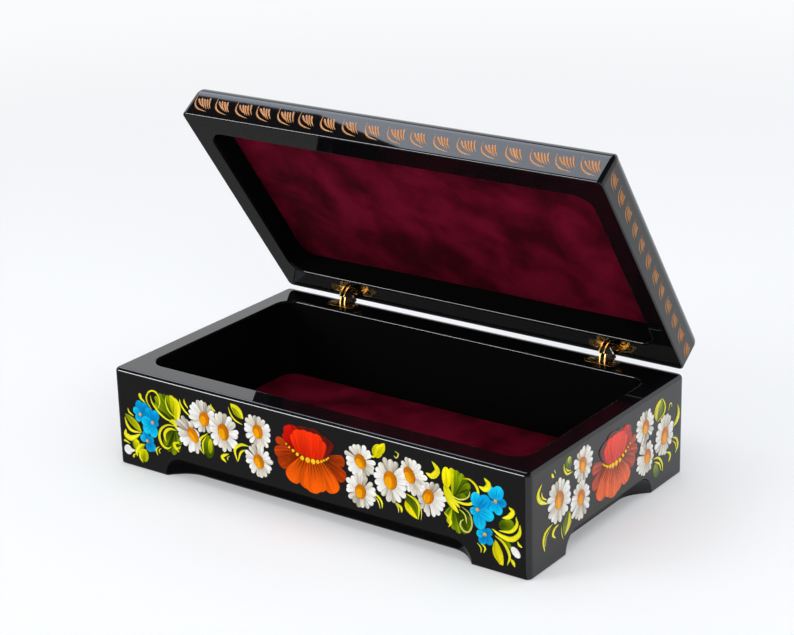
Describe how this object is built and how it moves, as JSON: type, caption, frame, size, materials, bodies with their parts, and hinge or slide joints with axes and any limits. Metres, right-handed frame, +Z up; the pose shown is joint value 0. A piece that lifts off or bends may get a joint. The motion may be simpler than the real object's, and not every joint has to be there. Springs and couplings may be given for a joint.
{
  "type": "hinged lacquer box",
  "caption": "Rectangular black lacquered wooden box with painted flower bands, a velvet-lined compartment, scooped feet and a lid on two brass hinges.",
  "frame": {"origin": "on the surface that the box stands on, under the middle of the base", "axes": "+X to the right along the front, +Y from the front to the hinges, +Z up"},
  "size_m": [0.25, 0.1597, 0.1816],
  "materials": {
    "lacquer": "wood under gloss black lacquer, with painted ornament",
    "velvet": "short-pile burgundy velvet over a thin backing",
    "brass": "stamped bright brass"
  },
  "bodies": {
    "base": {"base_bottom": "lacquer", "base_frame": "lacquer", "floor_lining": "velvet", "hinge_left_base_leaf": "brass", "hinge_left_pin": "brass", "hinge_left_base_screw_outer": "brass", "hinge_left_base_screw_inner": "brass", "hinge_right_base_leaf": "brass", "hinge_right_pin": "brass", "hinge_right_base_screw_outer": "brass", "hinge_right_base_screw_inner": "brass"},
    "lid": {"lid_shell": "lacquer", "lid_lining": "velvet", "hinge_left_lid_leaf": "brass", "hinge_left_lid_screw_outer": "brass", "hinge_left_lid_screw_inner": "brass", "hinge_right_lid_leaf": "brass", "hinge_right_lid_screw_outer": "brass", "hinge_right_lid_screw_inner": "brass"}
  },
  "joints": [
    {"name": "lid_hinge", "type": "hinge", "parent": "base", "child": "lid", "pos_m": [0, 0.073, 0.0533], "axis": [-1, 0, 0], "range_deg": [-55, 45]}
  ]
}
